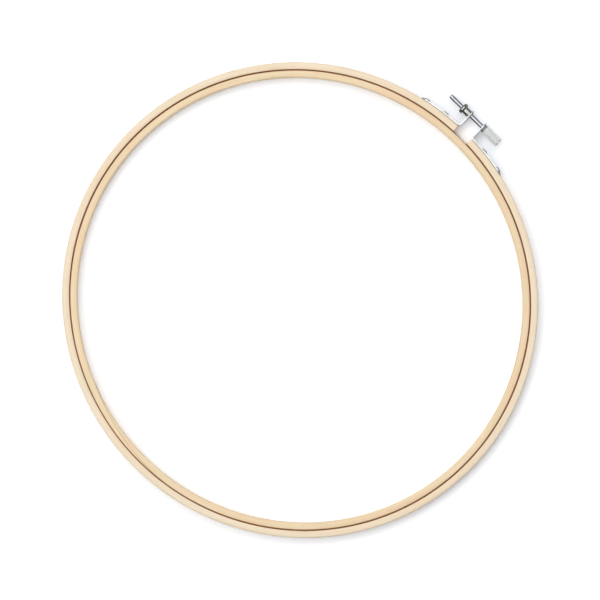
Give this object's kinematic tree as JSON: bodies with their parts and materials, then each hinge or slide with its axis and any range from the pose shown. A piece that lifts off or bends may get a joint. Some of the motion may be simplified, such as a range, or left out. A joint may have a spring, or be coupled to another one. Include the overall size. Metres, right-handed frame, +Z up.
{
  "type": "embroidery hoop",
  "caption": "Round bamboo embroidery hoop: a closed inner ring inside a split outer ring that a thumb screw in bent metal brackets draws together.",
  "frame": {"origin": "middle of the footprint with the screw clamp counted, on the surface that the hoop lies on; the rings' centre is 5.95 mm from it towards -Y", "axes": "+Z up out of the plane of the rings, +Y towards the split of the outer ring and its screw, +X along the screw towards its knob"},
  "size_m": [0.2658, 0.2722, 0.009],
  "materials": {
    "bamboo_outer": "sanded pale bamboo",
    "bamboo_inner": "sanded warm bamboo",
    "plated_sheet": "bright nickel-plated sheet",
    "screw_steel": "bright drawn wire with a rolled thread",
    "nut_metal": "turned, dark bright nickel",
    "knob_metal": "satin, knurled"
  },
  "bodies": {
    "outer_frame": {"outer_ring": "bamboo_outer", "screw_bracket": "plated_sheet", "screw_bracket_tack_near": "plated_sheet", "screw_bracket_tack_far": "plated_sheet"},
    "nut_end": {"nut_bracket": "plated_sheet", "nut_bracket_tack_near": "plated_sheet", "nut_bracket_tack_far": "plated_sheet", "flange_nut": "nut_metal"},
    "thumb_screw": {"screw_rod": "screw_steel", "screw_knob": "knob_metal"},
    "inner_frame": {"inner_ring": "bamboo_inner"}
  },
  "joints": [
    {"name": "screw_turn", "type": "hinge", "parent": "outer_frame", "child": "thumb_screw", "pos_m": [0, 0.13305, 0.0045], "axis": [1, 0, 0], "range_deg": [-540, 6480]},
    {"name": "ring_spread", "type": "hinge", "parent": "outer_frame", "child": "nut_end", "pos_m": [-0.01162, -0.13354, 0.0045], "axis": [0, 0, 1], "range_deg": [-0.14, 1.74], "deforming": ["outer_ring"]},
    {"name": "inner_ring_lift", "type": "slide", "parent": "outer_frame", "child": "inner_frame", "axis": [0, 0, 1], "range_m": [0, 0.03]}
  ],
  "couplings": [
    {"joint": "screw_turn", "follows": "ring_spread", "ratio": 3722.4}
  ]
}
